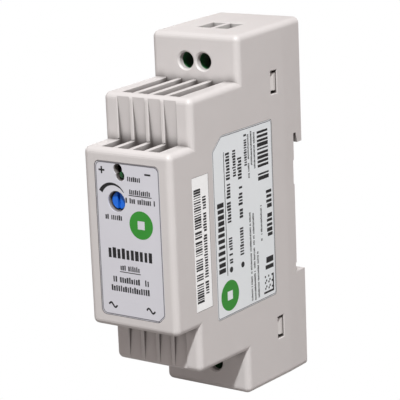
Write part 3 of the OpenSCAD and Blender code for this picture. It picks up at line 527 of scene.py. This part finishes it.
# Swelling arc over the trimmer: it thickens towards the way that lowers the setting.
ARC_MIDDLE, ARC_RADIUS, ARC_STEPS = (-4.4, 9.4), 3.85, 24
ARC_FROM, ARC_TO = 152, 33
ARC_THICK, ARC_THIN = 1.1, 0.15
arc = []
arc_widths = []
for i in range(ARC_STEPS + 1):
    share = i / ARC_STEPS
    angle = math.radians(ARC_FROM + (ARC_TO - ARC_FROM) * share)
    arc.append((ARC_RADIUS * math.cos(angle), ARC_RADIUS * math.sin(angle)))
    arc_widths.append(ARC_THICK + (ARC_THIN - ARC_THICK) * share)
front_marks.append((ribbon(arc, arc_widths, black_ink), on_front(*ARC_MIDDLE)))
print_on("front_print_black", black_ink, front_marks)

# Painted shade: a grey line round the front label's edge for the shadow in the gap of its recess.
front_edge_shade = border(17.9, 36.5, radius=1.3, cut_corner=0, cut=(1.6, 1.6), line=0.22)
print_on("front_edge_shade_line", edge_shade_ink, [(front_edge_shade, on_front(0, 0))])


# The round green mark is plain: a disc with a pale square left open in its middle.
def open_disc(radius, hole):
    """A disc of green ink with a square left open, drawn as a ring from the square outwards."""
    edges = []
    for i in range(48):
        x, y = math.cos(math.tau * i / 48), math.sin(math.tau * i / 48)
        inner = hole / max(abs(x), abs(y))
        edges.append([(x * inner, y * inner), (x * radius, y * radius)])
    return stripe(edges, green_ink, closed=True)


print_on("front_print_green", green_ink, [(open_disc(3.35, 1.0), on_front(3.45, 4.25))])

# Rating label: light satin polyester film on the right side, its print turned a quarter, in a
# shallow recess. Again short strokes stand for lines of print, and a block of squares for marks.
light_film = moulded("polyester_film_light", ("#E8ECEF", "#ECF0F3"), (0.32, 0.4), 0.5, 0.002, 16)
dress(light_film, "rating_label")
rating_low, rating_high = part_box("rating_label")


def on_side(y, z, face=rating_high.x):
    """A place on the right side, y back and z up, in mm, where print reads upwards."""
    turn = Matrix(((0, 0, 1, 0), (0, -1, 0, 0), (1, 0, 0, 0), (0, 0, 0, 1)))
    return Matrix.Translation((face, y * mm, z * mm)) @ turn


RATING_ROWS = (
    # foot y, start z, length, height, strokes
    (-31.5, -9.9, 17.4, 2.9, "bold"),
    (-28.4, -8.3, 6.6, 1.5, "small"),
    (-28.5, 1.7, 17.8, 1.7, "small"),
    (-25.9, 12.4, 6.8, 1.5, "small"),
    (-23.6, -8.1, 8.0, 1.6, "small"),
    (-23.5, 1.8, 16.0, 1.8, "small"),
    (-21.1, 14.0, 8.0, 1.2, "bold"),
    (-20.3, -19.8, 22.3, 0.7, "small"),
    (-20.1, 10.8, 10.8, 0.7, "small"),
    (-18.9, -20.0, 22.0, 0.7, "small"),
    (-18.8, 13.4, 8.8, 0.7, "small"),
    (-17.4, -19.8, 12.3, 0.7, "small"),
    (-17.5, 12.6, 9.2, 0.7, "small"),
    (-15.4, -5.9, 9.1, 0.7, "small"),
    (-10.9, -5.6, 13.0, 2.4, "bold"),
    (-10.9, -14.0, 7.0, 3.6, "bold"),
    (-11.8, 9.2, 12.8, 4.7, "bars"),
)
RATING_SEED = 41
rating_marks = [
    (row(length, height, kind, RATING_SEED + i, black_ink), on_side(y, z))
    for i, (y, z, length, height, kind) in enumerate(RATING_ROWS)
]
rule = plate([(0, 0), (30, 0), (30, 0.22), (0, 0.22)], black_ink)
rating_marks.append((rule, on_side(-30.7, -10.8)))
BULLET = 0.7
bullet = [
    (BULLET * math.cos(math.tau * i / 24), BULLET * math.sin(math.tau * i / 24))
    for i in range(24)
]
for y in (-29.2, -24.3):
    rating_marks.append((plate(bullet, black_ink), on_side(y, -9.7)))

# A block of small squares, with two full edges and an even scatter between them.
CELL, CELLS, BLOCK_FOOT, BLOCK_START = 0.5, 9, -11.2, -19.4
for i in range(CELLS):
    for j in range(CELLS):
        if i == 0 or j == 0 or (i * 7 + j * 5 + i * j) % 3 == 0:
            cell = plate(box_outline(CELL, CELL), black_ink)
            place = on_side(BLOCK_FOOT - CELL * j, BLOCK_START + CELL * i)
            rating_marks.append((cell, place))
print_on("rating_print_black", black_ink, rating_marks)
print_on("rating_print_green", green_ink, [(open_disc(3.75, 1.1), on_side(-30.1, -15.85))])
rating_middle = (rating_low + rating_high) / 2 / mm
rating_length = (rating_high.z - rating_low.z) / mm - 0.5
# Painted shade: a grey line round the rating label's edge for the shadow in the gap of its recess.
rating_edge_shade = border(rating_length, 25, radius=0.7, cut_corner=1, cut=(3.1, 3.6), line=0.18)
rating_place = on_side(rating_middle.y, rating_middle.z)
print_on("rating_edge_shade_line", edge_shade_ink, [(rating_edge_shade, rating_place)])

# Serial sticker: bright coated paper, thermally printed with bars and a line under them, and
# stuck on the right side behind the rating label.
paper = moulded("coated_paper_white", ("#FBFCFD", "#FFFFFF"), (0.42, 0.5), 0.15, 0.003, 4)
dress(paper, "serial_label")
sticker_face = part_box("serial_label")[1].x
serial_marks = [
    (row(27.6, 2.7, "bars", 71, black_ink), on_side(-40.75, -14.5, sticker_face)),
    (row(24.4, 1.5, "small", 72, black_ink), on_side(-38.7, -13.0, sticker_face)),
]
print_on("serial_print_black", black_ink, serial_marks)

# Trimmer: a single-turn potentiometer in glossy blue moulded plastic, soldered to the control
# board. Its brighter slotted rotor turns in the case behind a bore in the front.
trimmer_case = moulded("trimmer_case_blue", ("#0E47A8", "#1450B4"), (0.3, 0.38), 0.2, 0.004, 2)
dress(trimmer_case, "trimmer_body")
rotor = moulded("trimmer_rotor_blue", ("#1668D8", "#1D72E4"), (0.26, 0.34), 0.2, 0.003, 2)
dress(rotor, "trimmer_rotor")

# Lamp: a 2 mm light emitting diode cast in green tinted clear epoxy, soldered to the control
# board behind its bore. It is unlit, so that it looks dark.
clear = {"IOR": 1.55, "Transmission Weight": 0.35}
tinted, tree, shader, place = start_material("epoxy_green_tinted", "#1E5A2C", **clear)
vary_skin(tree, shader, place, ("#18502A", "#236634"), 1.5, (0.08, 0.14), 0.3, 0.001)
dress(tinted, "status_lamp")

# Terminal bodies: two-pole risers in green polyamide, moulded with a smooth tool and soldered to
# the main board by their contacts.
polyamide = moulded("polyamide_green", ("#1F7A3C", "#258545"), (0.32, 0.42), 0.25, 0.006, 4)
# Painted shade: the terminal bores are darkened with depth almost to black.
paint_crevice_shade(polyamide, 4, "#0A140D", 0.85)
dress(polyamide, "output_terminal_block", "input_terminal_block")

# Screws and clamps: zinc-plated steel screws with turned heads, in bent cages of yellow passivated
# steel, which rise on the screws' threads.
ALONG_X, ALONG_Y = (0.1, 1, 1), (1, 0.1, 1)
zinc = bare_metal("steel_zinc_plated", ("#B9BBB8", "#CFD0CC"), (0.24, 0.36), 0.12, 0.003, ALONG_Y)
dress(zinc, "heat_sink_screw")
yellow = ("#A8955A", "#BDAE7C")
passivated = bare_metal("steel_yellow_passivated", yellow, (0.28, 0.42), 0.3, 0.004)
for end in ("output", "input"):
    for side in ("left", "right"):
        dress(zinc, f"{end}_screw_{side}")
        dress(passivated, f"{end}_clamp_{side}")

# Contacts and the diode's tab: stamped copper alloy, tin plated, with rolling lines across the
# strip. The contacts stand in the terminal bodies and are soldered below.
tin = ("#B5B3A8", "#CAC8BE")
tinned = bare_metal("copper_tin_plated", tin, (0.25, 0.4), 0.15, 0.003, ALONG_X)
dress(tinned, "output_contacts", "input_contacts", "output_diode_tab")

# Boards: 1.6 mm glass epoxy laminate under green solder mask, with the copper showing through it
# as slightly paler patches, and the weave of the glass as a fine ripple. The joints are bright.
TRACK_MM = 3.2
mask, tree, shader, place = start_material("glass_epoxy_green_mask", "#14532D", IOR=1.55)
vary_skin(tree, shader, place, ("#10492A", "#175A32"), 8, (0.22, 0.32), 0.4, 0.003)
tracks = add_node(
    tree,
    "ShaderNodeTexVoronoi",
    {"Vector": place, "Scale": 1 / (TRACK_MM * mm), "Randomness": 0.7},
    distance="MANHATTAN",
    feature="F2",
)
copper = add_node(
    tree, "ShaderNodeMath", {0: tracks.outputs["Distance"], 1: 0.62}, operation="GREATER_THAN"
)
overlay(tree, shader, copper.outputs[0], "#2C7D49")
dress(mask, "main_board", "control_board")
solder = bare_metal("solder_bright", ("#B4B6B9", "#D2D4D6"), (0.16, 0.3), 0.5, 0.006, (1, 1, 1))
dress(solder, "solder_joints")

# Small parts on the boards: black moulded epoxy packages, tan ceramic chips and a white
# optocoupler, all soldered.
dress(
    moulded("epoxy_package_black", ("#1B1B1D", "#242427"), (0.42, 0.58), 0.12, 0.006, 2),
    "chip_resistors",
    "voltage_reference",
    "bridge_rectifier",
    "switching_controller",
    "output_diode_body",
    "input_fuse",
    "choke_base",
    "transformer_bobbin",
)
ceramic = moulded("ceramic_chip_tan", ("#96795A", "#A78B69"), (0.35, 0.5), 0.1, 0.003, 1)
dress(ceramic, "chip_capacitors")
white_epoxy = moulded("epoxy_package_white", ("#DEDDD6", "#E8E7E1"), (0.4, 0.5), 0.12, 0.005, 2)
dress(white_epoxy, "optocoupler")

# Disc parts: a dark inrush thermistor and two blue discs, dipped in lacquer that runs a little
# thick, on wire legs.
dark_lacquer = moulded("dipped_lacquer_dark", ("#232B24", "#2E382F"), (0.2, 0.36), 0.9, 0.02, 3)
dress(dark_lacquer, "inrush_thermistor")
dress(
    moulded("dipped_lacquer_blue", ("#1F4F9E", "#2A5EB0"), (0.18, 0.32), 0.9, 0.02, 3),
    "surge_varistor",
    "isolation_capacitor",
)

# Filter capacitor: a yellow moulded box filled with resin, on two wire legs that are soldered in
# the board.
box_case = moulded("box_case_yellow", ("#D2A51E", "#DDB32E"), (0.38, 0.5), 0.25, 0.006, 4)
dress(box_case, "filter_capacitor")

# Snubber resistor: a ceramic rod with its film in a pale blue cement lacquer, on wire legs bent
# down to the board.
cement = moulded("resistor_lacquer_blue", ("#7796AC", "#84A3B8"), (0.28, 0.4), 0.2, 0.006, 2)
dress(cement, "snubber_resistor")

# Ferrite and lacquered cores: the transformer's halves are ground, the line choke's ring is coated
# green, and the output choke is a drum in brown lacquer.
ferrite = moulded("ferrite_ground", ("#2E2E30", "#39393B"), (0.5, 0.68), 0.15, 0.008, 2)
dress(ferrite, "transformer_core_rear", "transformer_core_front")
coated = moulded("ferrite_coated_green", ("#2F7A50", "#388658"), (0.35, 0.5), 0.3, 0.006, 3)
dress(coated, "choke_core")
drum = moulded("drum_lacquer_brown", ("#402B1D", "#4C3526"), (0.3, 0.45), 0.3, 0.008, 2)
dress(drum, "output_choke")

# Windings: enamelled copper wire wound on the transformer's bobbin and the line choke's ring. Its
# turns, a wire's width apart, show as fine ridges.
WIRE_PITCH_MM, RIDGE_MM, WAVES_PER_UNIT = 0.3, 0.1, 20
enamel = {"Metallic": 0.9, "Coat Weight": 0.6}
copper_wire, tree, shader, place = start_material("copper_wire_enamelled", "#B0682F", **enamel)
vary_skin(tree, shader, place, ("#A45E2A", "#BC7236"), 2, (0.22, 0.34), 0.3, 0.002)
wire_scale = 1 / (WIRE_PITCH_MM * mm) / WAVES_PER_UNIT
turns = add_node(
    tree,
    "ShaderNodeTexWave",
    {"Vector": place, "Scale": wire_scale, "Distortion": 0.4},
    bands_direction="Y",
)
grain = shader.inputs["Normal"].links[0].from_socket
ridges = add_node(
    tree,
    "ShaderNodeBump",
    {"Height": turns.outputs["Fac"], "Distance": RIDGE_MM * mm, "Normal": grain},
)
tree.links.new(ridges.outputs["Normal"], shader.inputs["Normal"])
dress(copper_wire, "transformer_winding", "choke_windings")

# Transformer tape: yellow polyester film wound over the coil to insulate it, glossy and slightly
# creased.
tape = moulded("polyester_tape_yellow", ("#D9B92F", "#E3C53F"), (0.2, 0.3), 0.8, 0.006, 5)
dress(tape, "transformer_tape")

# Electrolytic capacitors: drawn aluminium cans in glossy shrink sleeves, closed at the board's end
# by black rubber bungs, with their wires soldered in it.
cans = bare_metal("aluminium_drawn", ("#C3C5C8", "#D6D8DA"), (0.24, 0.38), 0.15, 0.003, ALONG_Y)
dress(cans, "bulk_capacitor_can", "output_capacitor_cans")
navy = moulded("shrink_sleeve_navy", ("#1A2342", "#222C50"), (0.16, 0.26), 1.2, 0.01, 5)
dress(navy, "bulk_capacitor_sleeve")
green = moulded("shrink_sleeve_green", ("#1D4632", "#24523B"), (0.16, 0.26), 1.2, 0.01, 5)
dress(green, "output_capacitor_sleeves")
rubber = moulded("bung_rubber_black", ("#141414", "#1D1D1D"), (0.6, 0.75), 0.2, 0.01, 3, 1.52)
dress(rubber, "capacitor_bungs")

# Heat sink: 1.4 mm aluminium sheet, sheared and bent, with rolling lines. A screw holds it to the
# output diode's tab.
sheet = bare_metal("aluminium_mill_finish", ("#B9BBBD", "#CCCED0"), (0.3, 0.45), 0.12, 0.004)
dress(sheet, "heat_sink")

# Floor: a wide pale sheet, just low enough for the foot to slide out. To the eye it is as white
# as the room behind it, but it throws back only as much light as a matt sheet in the shade. From
# below it is clear, so that the underside of the module can be looked at.
pale_sheet, tree, shader, place = start_material("sheet_matt_pale", "#8E8B89")
vary_skin(tree, shader, place, ("#8B8886", "#918E8C"), 60, (0.85, 0.95), 2, 0.02)
glow = add_node(tree, "ShaderNodeEmission", {"Color": linear("#FFFFFF")}).outputs["Emission"]
seen = add_node(tree, "ShaderNodeLightPath").outputs["Is Camera Ray"]
white = add_node(tree, "ShaderNodeMixShader", {"Fac": seen, 1: shader.outputs["BSDF"], 2: glow})
none = add_node(tree, "ShaderNodeBsdfTransparent").outputs["BSDF"]
below = add_node(tree, "ShaderNodeNewGeometry").outputs["Backfacing"]
sided = add_node(tree, "ShaderNodeMixShader", {"Fac": below, 1: white.outputs[0], 2: none})
tree.links.new(sided.outputs[0], tree.nodes["Material Output"].inputs["Surface"])

floor_z, HALF_SPAN = cad_low.z - FOOT_TRAVEL * mm, 4
corners = [
    (sx * HALF_SPAN, sy * HALF_SPAN, floor_z) for sx, sy in ((-1, -1), (1, -1), (1, 1), (-1, 1))
]
floor_mesh = bpy.data.meshes.new("floor")
floor_mesh.from_pydata(corners, [], [(0, 1, 2, 3)])
floor_mesh.materials.append(pale_sheet)
floor = bpy.data.objects.new("floor", floor_mesh)
bpy.context.scene.collection.objects.link(floor)

# Room: an even, faintly warm light from all round. To the eye the room is a white wall, but it
# lights the object only a third as much.
ROOM_LIGHT = 0.36
room = bpy.data.worlds.new("pale_room")
bpy.context.scene.world = room
room.use_nodes = True
tree = room.node_tree
around = tree.nodes["Background"]
around.inputs["Color"].default_value = linear("#FFF1EE")
around.inputs["Strength"].default_value = ROOM_LIGHT
wall = add_node(tree, "ShaderNodeBackground", {"Color": linear("#FFFFFF")}).outputs["Background"]
seen = add_node(tree, "ShaderNodeLightPath").outputs["Is Camera Ray"]
chosen = add_node(
    tree, "ShaderNodeMixShader", {"Fac": seen, 1: around.outputs["Background"], 2: wall}
)
tree.links.new(chosen.outputs[0], tree.nodes["World Output"].inputs["Surface"])

# Lamps: a small soft key from the upper right, which throws the nose's shadow down and to the left
# on the lower shoulder, a wide weak fill from the right, and one behind for the left side and the
# back.
AIM = Vector((0, -24, 1.2)) * mm


def soft_light(name, direction, distance, size, watts, colour):
    """A square lamp that faces the object from this direction."""
    lamp = bpy.data.lights.new(name, "AREA")
    lamp.size = size
    lamp.energy = watts
    lamp.color = colour
    made = bpy.data.objects.new(name, lamp)
    away = Vector(direction).normalized()
    turn = away.to_track_quat("Z", "Y").to_matrix().to_4x4()
    made.matrix_world = Matrix.Translation(AIM + away * distance) @ turn
    bpy.context.scene.collection.objects.link(made)


soft_light("key", (0.40, -0.55, 0.90), 1.2, 0.07, 16.5, (0.97, 1, 1))
soft_light("fill", (1, -0.25, 0.1), 1.0, 0.6, 1.1, (1, 0.99, 0.99))
soft_light("rear_fill", (-0.8, 0.6, -0.05), 1.2, 0.8, 5, (1, 0.99, 0.98))
bpy.context.scene.view_settings.view_transform = "Standard"

# Camera: above and to the right of the front, with a long lens, a little rolled, so that the
# module stands almost upright in the frame.
AZIMUTH, ELEVATION, ROLL = (math.radians(angle) for angle in (35.581, 13.892, -2.344))
DISTANCE, SHIFT_RIGHT, SHIFT_UP = 432.137, 0.138, 3.524
flat = math.cos(ELEVATION)
back = Vector((math.sin(AZIMUTH) * flat, -math.cos(AZIMUTH) * flat, math.sin(ELEVATION)))
level = Vector((math.cos(AZIMUTH), math.sin(AZIMUTH), 0))
right = level * math.cos(ROLL) + back.cross(level) * math.sin(ROLL)
up = back.cross(right)
stand = AIM + (right * SHIFT_RIGHT + up * SHIFT_UP + back * DISTANCE) * mm
lens = bpy.data.cameras.new("camera")
lens.sensor_width = 36
lens.lens = 160.17
lens.clip_start = 0.01
lens.clip_end = 20
camera = bpy.data.objects.new("camera", lens)
axes = Matrix((right, up, back)).transposed().to_4x4()
camera.matrix_world = Matrix.Translation(stand) @ axes
bpy.context.scene.collection.objects.link(camera)
bpy.context.scene.camera = camera
